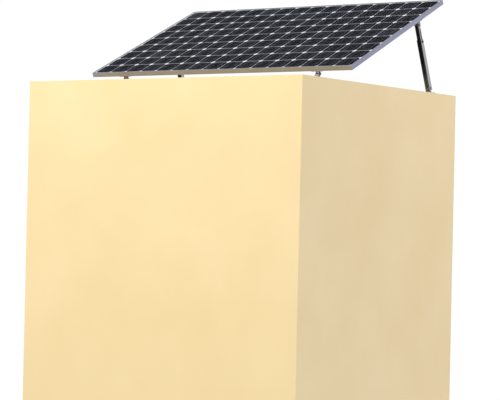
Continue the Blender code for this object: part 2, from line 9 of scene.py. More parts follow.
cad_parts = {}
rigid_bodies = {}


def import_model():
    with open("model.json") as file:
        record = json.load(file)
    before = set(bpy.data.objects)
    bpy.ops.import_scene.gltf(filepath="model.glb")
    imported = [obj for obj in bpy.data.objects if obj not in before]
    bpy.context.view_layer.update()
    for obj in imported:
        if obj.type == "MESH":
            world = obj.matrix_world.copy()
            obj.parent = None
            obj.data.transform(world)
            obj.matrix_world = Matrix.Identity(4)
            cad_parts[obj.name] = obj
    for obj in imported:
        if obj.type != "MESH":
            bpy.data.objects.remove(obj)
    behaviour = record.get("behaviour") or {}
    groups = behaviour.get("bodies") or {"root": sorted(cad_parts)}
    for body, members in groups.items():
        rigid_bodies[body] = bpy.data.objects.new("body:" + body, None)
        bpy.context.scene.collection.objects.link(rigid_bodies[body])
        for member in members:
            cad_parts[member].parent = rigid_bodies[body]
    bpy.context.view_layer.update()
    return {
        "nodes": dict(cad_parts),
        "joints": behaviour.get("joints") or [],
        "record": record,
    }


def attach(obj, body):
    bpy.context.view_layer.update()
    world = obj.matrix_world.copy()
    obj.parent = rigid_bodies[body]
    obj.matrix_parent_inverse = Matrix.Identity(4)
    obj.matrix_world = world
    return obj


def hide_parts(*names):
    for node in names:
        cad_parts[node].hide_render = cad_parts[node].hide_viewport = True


# Looks for the framed solar panel: separate cells and ribbons under clear glass, aluminium
# and galvanised steel with rounded edges, turned bolts and glands.  Metres, +Z up, in the
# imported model's own frame.
for existing in list(bpy.data.objects):
    bpy.data.objects.remove(existing, do_unlink=True)
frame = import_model()
record = frame["record"]
BODIES = {node: body for body, nodes in record["behaviour"]["bodies"].items() for node in nodes}
JOINTS = {joint["name"]: joint for joint in frame["joints"]}
SIDES = ("left", "right")

# Laminate.
COLUMNS = 16
ROWS = 9
STRINGS_PER_GROUP = 4
EDGE_MARGIN = 0.015              # outer edge of the frame to the first cell
COLUMN_GAP = 0.0027
ROW_GAP = 0.0032
CORNER_CUT = 0.016
BUSBAR_WIDTH = 0.0015
BUSBAR_HEIGHT = 0.00012
BUSBAR_LIFT = 0.00001            # over the cell
BUSBAR_END = 0.0012              # between the cell's edge and the busbar's end
BUSBAR_DIP = 0.0006              # short of the next cell, where it goes under
CROSS_RIBBON = (0.0043, 0.0083)  # beyond the last cell
SOLDER_LAP = 0.0002              # busbar short of its cross ribbon
FINGER_PITCH = 0.0021
CELL_SEED = 7
CELL_TONE = (0.42, 0.13)         # mean and spread
PALE_CELLS = 9
PALER_BY = 0.30
GLASS_CORNER = 0.004
GLASS_CORNER_STEPS = 4
GLASS_IOR = 1.5
UPRIGHT = 0.9                    # how straight the pane's upright edges stand
FACES_OUT = 0.5                  # how squarely its upper face looks out

# Surface refinement.
WELD = 0.000005
FLAT_ANGLE = math.radians(0.6)
EDGE_ANGLE = math.radians(34)
FILM_EDGE = 0.0001               # widths of the rounded edges
GASKET_EDGE = 0.0002
KEY_EDGE = 0.0003
EXTRUDED_EDGE = 0.0004
BRACKET_EDGE = 0.0005
TRAY_EDGE = 0.0005
FOOT_EDGE = 0.0006
PAD_EDGE = 0.0008
WALL = 0.0022                    # of the leg channels
LOOKS_IN = 0.5                   # how squarely a channel's face looks into it
LOOKS_FORWARD = 0.9

# Turned pieces.
RING_POINTS = 36
HEX_TOP = 0.95                   # flat end of a hexagon, in apothems
HEX_EDGE = 0.02                  # broken edge at its base, as a share of its height
HEX_SLOPE = math.tan(0.52)       # of the turned-off corners
WASHER_EDGE = 0.2                # broken edge, as a share of the thickness
BOLT_SPREAD = 1.9                # half the CAD bolt's width, in shank radii
HEAD_HEIGHT = 1.3
WASHER = 0.2                     # thickness, in shank radii
WASHER_REACH = 1.05              # radius, in half widths
HEX_FIT = 0.98                   # hexagon, as a share of the CAD one
NUT_HEIGHT = 0.80                # nut and washer, in head heights
THREADS = 3
THREAD_ROOT = 0.86               # radii, in shank radii
THREAD_CREST = 0.97
THREAD_END = 0.82
GLAND_BORE = 0.38                # radii, in half widths of the gland
GLAND_BODY = 0.72
GLAND_CAP = 0.90
GLAND_HEX = 0.86
GLAND_MOUTH = 0.62               # in cap radii
GLAND_RIBS = 12
GLAND_RIB = 0.025
# Radius of the gland's ribbed cap, in cap radii, and how far in, in lengths.
GLAND_DOME = ((0.80, 0.05), (0.95, 0.13), (1.0, 0.22), (1.0, 0.40))
# Rings of its body either side of the hexagon: radius in body radii, how far in.
GLAND_NECK = ((1.0, 0.405), (1.0, 0.47))
GLAND_HEX_SPAN = (0.475, 0.735)
GLAND_STUD = ((1.0, 0.74), (1.0, 0.98), (0.94, 1.0))

# Junction box lid.
LID_CORNER = 0.0035              # radius of the junction box lid's corners
LEAST_CORNER = 0.0008
LID_CORNER_STEPS = 6
# The lid's section from its joint outwards and round its groove: inset, share of the depth.
LID_PROFILE = ((0.0003, 0.0), (0.0, 0.12), (0.0, 0.72), (0.0003, 0.88), (0.0009, 1.0),
               (0.0055, 1.0), (0.0060, 0.94), (0.0062, 0.62), (0.0080, 0.62), (0.0082, 0.94),
               (0.0087, 1.0))


# ---------------------------------------------------------------- places

def place_of(across, up_slope, out, origin):
    """The matrix that takes a piece's own X, Y and Z to these directions at an origin."""
    columns = (across, up_slope, out, origin)
    return Matrix([[column[row] for column in columns] for row in range(3)] + [[0, 0, 0, 1]])


def panel_place():
    """X across the panel, Y up its slope and Z out of the glass, from the lower top edge."""
    across = Vector((1, 0, 0))
    faces = frame["nodes"]["cover_glass"].data.polygons
    out = max(faces, key=lambda face: face.area * face.normal.z).normal.normalized()
    slope = out.cross(across)
    corners = [vertex.co for vertex in frame["nodes"]["frame_lower"].data.vertices]
    origin = slope * min(corner.dot(slope) for corner in corners)
    origin += out * max(corner.dot(out) for corner in corners)
    return place_of(across, slope, out, origin)


def leg_place(side):
    """X across the leg, Y out of its back and Z along it, from the foot's pivot."""
    across = Vector((1, 0, 0))
    along = Vector(JOINTS[f"leg_slide_{side}"]["axis"]).normalized()
    return place_of(across, along.cross(across), along,
                    Vector(JOINTS[f"leg_swing_{side}"]["pos_m"]))


def local_box(node, place):
    """Lowest and highest corner of a CAD node in a place's own axes."""
    inverse = place.inverted()
    points = [inverse @ vertex.co for vertex in frame["nodes"][node].data.vertices]
    return (Vector([min(point[axis] for point in points) for axis in range(3)]),
            Vector([max(point[axis] for point in points) for axis in range(3)]))


PANEL = panel_place()
LEGS = {side: leg_place(side) for side in SIDES}
WORLD = Matrix.Identity(4)


# ---------------------------------------------------------------- materials

ANODISED = (0.278, 0.277, 0.305)
# Scales of the die lines' texture, which runs along one axis.
ALONG_X = (6.0, 1500.0, 1500.0)
ALONG_Y = (1500.0, 6.0, 1500.0)
ALONG_Z = (1500.0, 1500.0, 6.0)
# Painted light inside the leg channels: height along the leg from its foot's pivot, and the
# colour there, a painted reflection of the pale floor near the foot and painted shade above it.
CHANNEL_SHADE_AND_REFLECTION = ((0.03, (0.33, 0.305, 0.235)), (0.10, (0.10, 0.098, 0.09)),
                 (0.18, (0.025, 0.025, 0.026)))
# A cell's own tone, and its colour.
SILICON_TONES = ((0.0, (0.004, 0.004, 0.008)), (0.55, (0.009, 0.009, 0.015)),
                 (1.0, (0.024, 0.025, 0.034)))
FINGER_TONE = (0.060, 0.060, 0.064)


class Finish:
    """One procedural material while its nodes are being joined."""

    def __init__(self, name):
        self.material = bpy.data.materials.new(name)
        self.material.use_nodes = True
        self.tree = self.material.node_tree
        self.shader = self.tree.nodes["Principled BSDF"]
        self.output = self.tree.nodes["Material Output"]
        self.place = self.node("ShaderNodeTexCoord").outputs["Object"]

    def node(self, kind, sockets=None, **settings):
        made = self.tree.nodes.new(kind)
        for name, value in settings.items():
            setattr(made, name, value)
        for name, value in (sockets or {}).items():
            self.feed(made.inputs[name], value)
        return made

    def feed(self, socket, value):
        if isinstance(value, bpy.types.NodeSocket):
            self.tree.links.new(value, socket)
        else:
            socket.default_value = value

    def set(self, **values):
        """Sockets of the shader, by their names with underscores for spaces."""
        for name, value in values.items():
            self.feed(self.shader.inputs[name.replace("_", " ")], value)

    def stretched(self, scale):
        return self.node("ShaderNodeMapping", {"Vector": self.place, "Scale": scale}).outputs[0]

    def noise(self, scale, detail=3, vector=None, roughness=0.55):
        return self.node("ShaderNodeTexNoise", {
            "Vector": vector or self.place, "Scale": scale, "Detail": detail,
            "Roughness": roughness}).outputs["Fac"]

    def spread(self, value, low, high, start=0.3, end=0.7):
        """A texture's value carried from start..end to low..high."""
        return self.node("ShaderNodeMapRange", {
            "Value": value, "From Min": start, "From Max": end, "To Min": low,
            "To Max": high}).outputs["Result"]

    def colours(self, value, *stops):
        """A colour ramp through (position, colour) stops."""
        ramp = self.node("ShaderNodeValToRGB", {"Fac": value})
        elements = ramp.color_ramp.elements
        while len(elements) < len(stops):
            elements.new(0.5)
        for element, (position, colour) in zip(elements, stops):
            element.position = position
            element.color = (*colour, 1)
        return ramp.outputs["Color"]

    def bump(self, height, distance, strength=1.0, under=None):
        sockets = {"Height": height, "Distance": distance, "Strength": strength}
        if under:
            sockets["Normal"] = under
        return self.node("ShaderNodeBump", sockets).outputs["Normal"]


def tone(colour, factor):
    return tuple(min(1.0, channel * factor) for channel in colour)


def extruded_metal(name, colour, roughness, grain):
    """Anodised extrusion: faint die lines along its length and slow cloudy variation."""
    finish = Finish(name)
    lines = finish.noise(1.0, 4, finish.stretched(grain), 0.6)
    cloud = finish.noise(7.0, 3)
    speck = finish.noise(900.0, 2)
    finish.set(
        Base_Color=finish.colours(cloud, (0.3, tone(colour, 0.92)), (0.7, tone(colour, 1.06))),
        Metallic=0.8,
        Roughness=finish.spread(lines, roughness - 0.05, roughness + 0.09),
        Normal=finish.bump(lines, 0.00006, 0.5, finish.bump(speck, 0.00003, 0.4)))
    return finish.material


def galvanised(name, colour, roughness):
    """Hot-dip zinc: spangled crystals of slightly different tone and gloss."""
    finish = Finish(name)
    spangle = finish.node("ShaderNodeTexVoronoi", {"Vector": finish.place, "Scale": 240.0,
                                                   "Randomness": 1.0})
    level = finish.node("ShaderNodeSeparateColor", {"Color": spangle.outputs["Color"]})
    grain = finish.noise(1400.0, 3)
    stain = finish.noise(34.0, 4)
    crystal = finish.colours(level.outputs["Red"], (0.0, tone(colour, 0.84)),
                             (1.0, tone(colour, 1.12)))
    dulled = finish.node("ShaderNodeMix", data_type="RGBA", blend_type="MULTIPLY")
    finish.feed(dulled.inputs["Factor"], 0.6)
    finish.feed(dulled.inputs[6], crystal)
    finish.feed(dulled.inputs[7], finish.colours(stain, (0.35, (0.72, 0.70, 0.68)),
                                                 (0.62, (1, 1, 1))))
    finish.set(Base_Color=dulled.outputs[2], Metallic=1.0,
               Roughness=finish.spread(level.outputs["Green"], roughness - 0.08,
                                       roughness + 0.10, 0.0, 1.0),
               Normal=finish.bump(grain, 0.00005, 0.5,
                                  finish.bump(level.outputs["Blue"], 0.00003, 0.4)))
    return finish.material


def plated(name, colour, roughness):
    """Zinc-plated or blackened steel with fine tumbling marks."""
    finish = Finish(name)
    fine = finish.noise(1800.0, 3)
    patch = finish.noise(220.0, 2)
    finish.set(
        Base_Color=finish.colours(patch, (0.32, tone(colour, 0.85)), (0.68, tone(colour, 1.1))),
        Metallic=1.0, Roughness=finish.spread(fine, roughness - 0.06, roughness + 0.10),
        Normal=finish.bump(fine, 0.00003, 0.6))
    return finish.material


def matt(name, colour, roughness, scale, depth, metallic=0.0):
    """Moulded plastic, rubber or film: a fine even texture with a little tone in it."""
    finish = Finish(name)
    fine = finish.noise(scale, 3)
    patch = finish.noise(scale / 28, 3)
    finish.set(
        Base_Color=finish.colours(patch, (0.3, tone(colour, 0.86)), (0.7, tone(colour, 1.12))),
        Metallic=metallic, Roughness=finish.spread(fine, roughness - 0.08, roughness + 0.08),
        Normal=finish.bump(fine, depth, 0.7))
    return finish.material


def channel_shade_and_reflection():
    """Painted shade: the near-black inside of the leg channels, made paler by a painted
    reflection of the floor in the last part to the foot.
    """
    finish = Finish("leg_channel_shade_and_reflection")
    fine = finish.noise(420.0, 3)
    height = finish.node("ShaderNodeSeparateXYZ", {"Vector": finish.place}).outputs["Z"]
    drift = finish.spread(finish.noise(60.0, 3), -0.012, 0.012)
    level = finish.node("ShaderNodeMath", {0: height, 1: drift}, operation="ADD").outputs[0]
    finish.set(Base_Color=finish.colours(level, *CHANNEL_SHADE_AND_REFLECTION), Metallic=0.2,
               Roughness=finish.spread(fine, 0.34, 0.50),
               Normal=finish.bump(fine, 0.00004, 0.7))
    return finish.material


def cell_finish():
    """Dark coated silicon: a tone for each cell, printed fingers and a mottled coating."""
    finish = Finish("silicon_cell")
    tint = finish.node("ShaderNodeAttribute", attribute_name="tint").outputs["Fac"]
    cloud = finish.noise(42.0, 4)
    mixed = finish.node("ShaderNodeMath", {0: tint, 1: finish.spread(cloud, -0.16, 0.16)},
                        operation="ADD").outputs[0]
    silicon = finish.colours(mixed, *SILICON_TONES)
    wave = finish.node("ShaderNodeTexWave", {
        "Vector": finish.place, "Scale": math.tau / (20 * FINGER_PITCH), "Distortion": 0.0},
        wave_type="BANDS", bands_direction="Y").outputs["Fac"]
    finger = finish.spread(wave, 0.0, 1.0, 0.972, 0.995)
    printed = finish.node("ShaderNodeMix", {"Factor": finger}, data_type="RGBA")
    finish.feed(printed.inputs[6], silicon)
    finish.feed(printed.inputs[7], (*FINGER_TONE, 1))
    finish.set(Base_Color=printed.outputs[2], Roughness=finish.spread(cloud, 0.42, 0.56),
               Specular_IOR_Level=0.0, Normal=finish.bump(finger, 0.00002, 0.5))
    return finish.material


def clear_finish(name, tint, gloss=0.0, haze=0.0):
    """A clear layer. Its air side, which has gloss, also bends what is seen through it."""
    finish = Finish(name)
    finish.tree.nodes.remove(finish.shader)
    through = finish.node("ShaderNodeBsdfTransparent", {"Color": (*tint, 1)}).outputs[0]
    if gloss:
        seen = finish.node("ShaderNodeLightPath").outputs["Is Camera Ray"]
        bent = finish.node("ShaderNodeBsdfRefraction", {
            "Color": (*tint, 1), "Roughness": 0.0, "IOR": GLASS_IOR}).outputs[0]
        through = finish.node("ShaderNodeMixShader", {"Fac": seen, 1: through,
                                                      2: bent}).outputs[0]
        pebble = finish.noise(620.0, 2)
        smear = finish.noise(3.2, 4)
        normal = finish.bump(pebble, 0.00002, 0.35)
        surface = finish.node("ShaderNodeBsdfAnisotropic", {
            "Color": (0.95, 0.97, 1.0, 1), "Roughness": finish.spread(smear, 0.10, 0.20),
            "Normal": normal}).outputs[0]
        share = finish.spread(smear, 0.8 * gloss, 1.2 * gloss)
    else:
        film = finish.noise(260.0, 3)
        surface = finish.node("ShaderNodeBsdfDiffuse", {
            "Color": finish.colours(film, (0.3, (0.70, 0.71, 0.72)), (0.7, (0.86, 0.86, 0.85)))
        }).outputs[0]
        share = finish.spread(film, 0.4 * haze, 1.6 * haze)
    mixed = finish.node("ShaderNodeMixShader", {"Fac": share, 1: through, 2: surface}).outputs[0]
    finish.feed(finish.output.inputs["Surface"], mixed)
    return finish.material


def backsheet_finish():
    """White polymer film, faintly woven."""
    finish = Finish("backsheet_film")
    weave = finish.node("ShaderNodeTexWave", {"Vector": finish.place, "Scale": 90.0,
                                              "Distortion": 1.5, "Detail": 2.0},
                        wave_type="BANDS", bands_direction="DIAGONAL").outputs["Fac"]
    cloud = finish.noise(5.0, 4)
    finish.set(Base_Color=finish.colours(cloud, (0.3, (0.74, 0.745, 0.75)),
                                         (0.7, (0.84, 0.84, 0.83))),
               Roughness=finish.spread(weave, 0.46, 0.62),
               Normal=finish.bump(weave, 0.00004, 0.5))
    return finish.material


def board_finish():
    """Green lacquer over copper tracks."""
    finish = Finish("lacquered_board")
    tracks = finish.node("ShaderNodeTexBrick", {
        "Vector": finish.place, "Scale": 60.0, "Color1": (0.02, 0.11, 0.05, 1),
        "Color2": (0.03, 0.16, 0.07, 1), "Mortar": (0.24, 0.20, 0.06, 1)}).outputs["Color"]
    finish.set(Base_Color=tracks, Roughness=finish.spread(finish.noise(300.0), 0.28, 0.46))
    return finish.material


FINISHES = {
    "frame_across": extruded_metal("anodised_across", ANODISED, 0.34, ALONG_X),
    "frame_up": extruded_metal("anodised_up_slope", ANODISED, 0.34, ALONG_Y),
    "leg": extruded_metal("anodised_leg", (0.385, 0.368, 0.325), 0.36, ALONG_Z),
    # painted shade inside the leg channels, with a painted floor reflection near the foot
    "leg_shade_and_reflection": channel_shade_and_reflection(),
    "key": extruded_metal("mill_aluminium", (0.50, 0.50, 0.52), 0.42, ALONG_X),
    "bracket": galvanised("galvanised_steel", (0.27, 0.25, 0.245), 0.48),
    "bolt": plated("zinc_plated_steel", (0.36, 0.35, 0.36), 0.34),
    "black_bolt": plated("black_oxide_steel", (0.030, 0.030, 0.033), 0.40),
    "rubber": matt("epdm_rubber", (0.020, 0.020, 0.021), 0.78, 900.0, 0.00012),
    "plastic": matt("moulded_plastic", (0.024, 0.024, 0.026), 0.44, 1500.0, 0.00006),
    "ribbon": plated("tinned_ribbon", (0.20, 0.20, 0.21), 0.42),
    "cell": cell_finish(),
    "glass": clear_finish("cover_glass_outer", (0.985, 0.992, 0.992), gloss=0.005),
    "glass_bonded": clear_finish("cover_glass_bonded", (0.99, 0.998, 0.995), haze=0.001),
    "encapsulant": clear_finish("encapsulant_film", (0.99, 0.99, 0.985), haze=0.002),
    "encapsulant_white": matt("encapsulant_white_film", (0.66, 0.66, 0.685), 0.50, 700.0,
                              0.00003),
    "backsheet": backsheet_finish(),
    "board": board_finish(),
}


# ---------------------------------------------------------------- piece helpers

def add_piece(name, solid, place, body, finishes, replaces=(), smooth=True):
    """A finished bmesh as a piece that rides on a body and takes a slot's finish."""
    mesh = bpy.data.meshes.new(name)
    bmesh.ops.recalc_face_normals(solid, faces=solid.faces)
    solid.to_mesh(mesh)
    solid.free()
    for finish in finishes:
        mesh.materials.append(FINISHES[finish])
    piece = bpy.data.objects.new(name, mesh)
    bpy.context.scene.collection.objects.link(piece)
    piece.matrix_world = place
    if smooth:
        mesh.shade_smooth()
        mesh.set_sharp_from_angle(angle=EDGE_ANGLE)
    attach(piece, body)
    if replaces:
        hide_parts(*replaces)
    return piece


def cad_solid(node, place):
    """A CAD node's mesh in a place's own axes, welded, with its flat faces made whole."""
    solid = bmesh.new()
    solid.from_mesh(frame["nodes"][node].data)
    bmesh.ops.transform(solid, matrix=place.inverted(), verts=solid.verts)
    bmesh.ops.remove_doubles(solid, verts=solid.verts, dist=WELD)
    bmesh.ops.dissolve_limit(solid, angle_limit=FLAT_ANGLE, verts=solid.verts,
                             edges=solid.edges)
    return solid


def soften(piece, width, segments=2):
    """Rounds a piece's sharp edges and keeps its flat faces flat in the shading."""
    bevel = piece.modifiers.new("Edges", "BEVEL")
    bevel.width = width
    bevel.segments = segments
    bevel.limit_method = "ANGLE"
    bevel.angle_limit = EDGE_ANGLE
    bevel.use_clamp_overlap = True
    bevel.loop_slide = False
    weighted = piece.modifiers.new("Shading", "WEIGHTED_NORMAL")
    weighted.keep_sharp = False


def refined(node, place, finish, width, segments=2, inside=None, inside_finish=None):
    """A CAD node's own shape with rounded edges. The faces inside() picks get its finish."""
    solid = cad_solid(node, place)
    finishes = [finish]
    if inside:
        finishes.append(inside_finish)
        for face in solid.faces:
            face.material_index = int(inside(face))
    piece = add_piece(f"{node}_piece", solid, place, BODIES[node], finishes,
                      [node])
    soften(piece, width, segments)


# ---------------------------------------------------------------- turned pieces

def hexagon(apothem):
    """Radius of a hexagon at a turn about its middle."""
    return lambda turn: apothem / math.cos((turn + math.pi / 6) % (math.pi / 3) - math.pi / 6)


def ring(radius, height):
    """One ring of points. Radius and height are numbers, or functions of the turn."""
    points = []
    for step in range(RING_POINTS):
        turn = math.tau * step / RING_POINTS
        reach = radius(turn) if callable(radius) else radius
        level = height(turn) if callable(height) else height
        points.append((reach * math.cos(turn), reach * math.sin(turn), level))
    return points


def skin(solid, rings, closed=False):
    """Joins rings into a skin, which ends in two caps or closes on itself."""
    loops = [[solid.verts.new(point) for point in points] for points in rings]
    following = loops[1:] + loops[:1] if closed else loops[1:]
    for lower, upper in zip(loops, following):
        for step in range(len(lower)):
            beside = (step + 1) % len(lower)
            solid.faces.new((lower[step], lower[beside], upper[beside], upper[step]))
    if not closed:
        solid.faces.new(loops[0])
        solid.faces.new(loops[-1])


def hex_rings(apothem, base, top):
    """A hexagonal head from its base to a top with turned-off corners."""
    outline = hexagon(apothem)
    flat = apothem * HEX_TOP
    rise = 1 if top > base else -1
    edge = abs(top - base) * HEX_EDGE
    return [ring(outline, base), ring(outline, base + rise * edge),
            ring(outline, lambda turn: top - rise * (outline(turn) - flat) * HEX_SLOPE),
            ring(flat, top)]


def washer_rings(radius, base, top):
    """A washer's edge from one face to the other, its corners broken."""
    edge = abs(top - base) * WASHER_EDGE
    rise = 1 if top > base else -1
    return [ring(radius - edge, base), ring(radius, base + rise * edge),
            ring(radius, top - rise * edge), ring(radius - edge, top)]


def fastener(node, turn, finish):
    """Bolt, two washers, nut and threaded end as one turned piece, over a CAD bolt."""
    low, high = local_box(node, turn)
    place = turn @ Matrix.Translation((low + high) / 2)
    half = (high.z - low.z) / 2
    spread = max(high.x - low.x, high.y - low.y) / 2
    shank = spread / BOLT_SPREAD
    head = shank * HEAD_HEIGHT
    seat = half - head
    washer = shank * WASHER
    apothem = spread * math.cos(math.pi / 6) * HEX_FIT
    nut_top = seat + head * NUT_HEIGHT
    rings = hex_rings(apothem, seat + washer, half)[::-1]
    rings += washer_rings(spread * WASHER_REACH, seat + washer, seat)
    rings += [ring(shank, seat), ring(shank, -seat)]
    rings += washer_rings(spread * WASHER_REACH, -seat, -seat - washer)
    rings += hex_rings(apothem, -seat - washer, -nut_top)
    length = half - nut_top
    for thread in range(THREADS):
        start = -nut_top - length * thread / THREADS
        rings += [ring(shank * THREAD_ROOT, start),
                  ring(shank * THREAD_CREST, start - length / THREADS / 2)]
    rings.append(ring(shank * THREAD_END, -half))
    solid = bmesh.new()
    skin(solid, rings)
    add_piece(f"{node}_piece", solid, place, BODIES[node], [finish], [node])


# ---------------------------------------------------------------- panel

def plate(solid, outline, bottom, top):
    """A flat outline given thickness, as one closed body."""
    lower = [solid.verts.new((x, y, bottom)) for x, y in outline]
    upper = [solid.verts.new((x, y, top)) for x, y in outline]
    solid.faces.new(lower[::-1])
    solid.faces.new(upper)
    for step in range(len(outline)):
        beside = (step + 1) % len(outline)
        solid.faces.new((lower[step], lower[beside], upper[beside], upper[step]))
    return lower + upper


class Grid:
    """Where the cells are, in the panel's own axes."""

    def __init__(self):
        low, high = local_box("frame_lower", PANEL)
        self.width = high.x - low.x
        left = local_box("frame_left", PANEL)
        self.length = left[1].y - left[0].y
        self.pitch_x = (self.width - 2 * EDGE_MARGIN) / COLUMNS
        self.pitch_y = (self.length - 2 * EDGE_MARGIN) / ROWS
        cells = local_box("cell_strings_1", PANEL)
        self.bottom = cells[0].z
        self.top = cells[1].z

    def centre(self, column):
        return (column + 0.5) * self.pitch_x - self.width / 2 + EDGE_MARGIN

    def rows(self, row):
        """Lower and upper edge of a row of cells."""
        start = EDGE_MARGIN + row * self.pitch_y
        return start + ROW_GAP / 2, start + self.pitch_y - ROW_GAP / 2

    def busbars(self, column):
        return [self.centre(column) + side * self.pitch_x / 4 for side in (-1, 1)]


GRID = Grid()


def cell_outline(column, row):
    """One cell with its four corners cut."""
    half = (GRID.pitch_x - COLUMN_GAP) / 2
    x = GRID.centre(column)
    low, high = GRID.rows(row)
    cut = CORNER_CUT
    return [(x - half + cut, low), (x + half - cut, low), (x + half, low + cut),
            (x + half, high - cut), (x + half - cut, high), (x - half + cut, high),
            (x - half, high - cut), (x - half, low + cut)]


def cell_group(number, tones):
    """Four strings of cells as thin plates, each with a tone of its own."""
    solid = bmesh.new()
    tint = solid.verts.layers.float.new("tint")
    first = (number - 1) * STRINGS_PER_GROUP
    for column in range(first, first + STRINGS_PER_GROUP):
        for row in range(ROWS):
            made = plate(solid, cell_outline(column, row), GRID.bottom, GRID.top)
            for vertex in made:
                vertex[tint] = tones[column][row]
    node = f"cell_strings_{number}"
    add_piece(f"cells_{number}", solid, PANEL, "panel", ["cell"], [node],
              smooth=False)


def strip(solid, x, stations):
    """A flat ribbon up the slope through (y, height) stations, as one closed body."""
    half = BUSBAR_WIDTH / 2
    sections = []
    for y, height in stations:
        top = height + BUSBAR_HEIGHT
        corners = ((x - half, height), (x + half, height), (x + half, top), (x - half, top))
        sections.append([solid.verts.new((across, y, level)) for across, level in corners])
    for lower, upper in zip(sections, sections[1:]):
        for step in range(4):
            beside = (step + 1) % 4
            solid.faces.new((lower[step], lower[beside], upper[beside], upper[step]))
    solid.faces.new(sections[0][::-1])
    solid.faces.new(sections[-1])


def busbar(solid, x):
    """One busbar: a length over each cell, which dips into the gap beyond it."""
    lie = GRID.top + BUSBAR_LIFT
    sunk = GRID.bottom - BUSBAR_HEIGHT / 2
    for row in range(ROWS):
        low, high = GRID.rows(row)
        start = low + BUSBAR_END
        dip = (high + ROW_GAP - BUSBAR_DIP, sunk)
        if row == 0:
            strip(solid, x, [(low - CROSS_RIBBON[0] + SOLDER_LAP, GRID.bottom),
                             (low - BUSBAR_END, lie), (high, lie), dip])
        elif row == ROWS - 1:
            strip(solid, x, [(start, lie), (high + BUSBAR_END, lie),
                             (high + CROSS_RIBBON[0] - SOLDER_LAP, GRID.bottom)])
        else:
            strip(solid, x, [(start, lie), (high, lie), dip])


def cross_ribbon(solid, column):
    """The ribbon that joins a string's end to the next string's, in turn below and above."""
    start = min(GRID.busbars(column)) - BUSBAR_WIDTH
    end = max(GRID.busbars(column + 1)) + BUSBAR_WIDTH
    if column % 2 == 0:
        edge = GRID.rows(0)[0]
        near, far = edge - CROSS_RIBBON[0], edge - CROSS_RIBBON[1]
    else:
        edge = GRID.rows(ROWS - 1)[1]
        near, far = edge + CROSS_RIBBON[0], edge + CROSS_RIBBON[1]
    low, high = sorted((near, far))
    plate(solid, [(start, low), (end, low), (end, high), (start, high)], GRID.bottom, GRID.top)


def ribbons():
    """Busbars and cross ribbons of each group, and the links between the groups."""
    groups = COLUMNS // STRINGS_PER_GROUP
    for number in range(1, groups + 1):
        solid = bmesh.new()
        first = (number - 1) * STRINGS_PER_GROUP
        for column in range(first, first + STRINGS_PER_GROUP):
            for x in GRID.busbars(column):
                busbar(solid, x)
            if column < first + STRINGS_PER_GROUP - 1:
                cross_ribbon(solid, column)
        add_piece(f"busbars_{number}", solid, PANEL, "panel", ["ribbon"],
                  smooth=False)
        if number < groups:
            link = bmesh.new()
            cross_ribbon(link, first + STRINGS_PER_GROUP - 1)
            node = f"string_link_{number}"
            add_piece(f"{node}_piece", link, PANEL, "panel", ["ribbon"], [node],
                      smooth=False)


def cover_glass():
    """The pane with seamed edges; only its upper face meets the air."""
    solid = cad_solid("cover_glass", PANEL)
    upright = [edge for edge in solid.edges
               if abs((edge.verts[0].co - edge.verts[1].co).normalized().z) > UPRIGHT]
    bmesh.ops.bevel(solid, geom=upright, offset=GLASS_CORNER, segments=GLASS_CORNER_STEPS,
                    affect="EDGES", profile=0.5)
    for face in solid.faces:
        face.normal_update()
        face.material_index = 0 if face.normal.z > FACES_OUT else 1
    add_piece("cover_glass_piece", solid, PANEL, "panel",
              ["glass", "glass_bonded"], ["cover_glass"])


def laminate():
    """Everything inside the frame."""
    draw = random.Random(CELL_SEED)
    mean, spread = CELL_TONE
    tones = [[mean + draw.gauss(0, spread) for _ in range(ROWS)] for _ in range(COLUMNS)]
    for column, row in [(draw.randrange(COLUMNS), draw.randrange(ROWS))
                        for _ in range(PALE_CELLS)]:
        tones[column][row] += PALER_BY
    for number in range(1, COLUMNS // STRINGS_PER_GROUP + 1):
        cell_group(number, tones)
    ribbons()
    cover_glass()
    refined("backsheet", PANEL, "backsheet", FILM_EDGE, 1)
    refined("edge_gasket", PANEL, "rubber", GASKET_EDGE)
    refined("encapsulant_front", PANEL, "encapsulant", FILM_EDGE, 1)
    refined("encapsulant_rear", PANEL, "encapsulant_white", FILM_EDGE, 1)


def panel_frame():
    """Four mitred members and the keys in their corners."""
    for node, finish in (("frame_lower", "frame_across"), ("frame_upper", "frame_across"),
                         ("frame_left", "frame_up"), ("frame_right", "frame_up")):
        refined(node, PANEL, finish, EXTRUDED_EDGE)
    for side in SIDES:
        for end in ("lower", "upper"):
            refined(f"corner_key_{end}_{side}", PANEL, "key", KEY_EDGE)


def rounded_loop(half_x, half_y, radius, height):
    """One ring of points round a rectangle with round corners."""
    points = []
    for corner, (side_x, side_y) in enumerate(((1, 1), (-1, 1), (-1, -1), (1, -1))):
        for step in range(LID_CORNER_STEPS + 1):
            turn = math.pi / 2 * (corner + step / LID_CORNER_STEPS)
            points.append((side_x * (half_x - radius) + radius * math.cos(turn),
                           side_y * (half_y - radius) + radius * math.sin(turn), height))
    return points


def junction_box():
    """Tray, a lid with round corners and a moulded groove, and two domed glands."""
    refined("junction_box_tray", PANEL, "plastic", TRAY_EDGE)
    low, high = local_box("junction_box_lid", PANEL)
    place = PANEL @ Matrix.Translation(((low.x + high.x) / 2, (low.y + high.y) / 2, high.z))
    size = high - low
    rings = [rounded_loop(size.x / 2 - inset, size.y / 2 - inset,
                          max(LID_CORNER - inset, LEAST_CORNER), -depth * size.z)
             for inset, depth in LID_PROFILE]
    solid = bmesh.new()
    skin(solid, rings)
    add_piece("junction_box_lid_piece", solid, place, "panel",
              ["plastic"], ["junction_box_lid"])
    frame["nodes"]["diode_board"].data.materials.clear()
    frame["nodes"]["diode_board"].data.materials.append(FINISHES["board"])
    for side in SIDES:
        cable_gland(side)


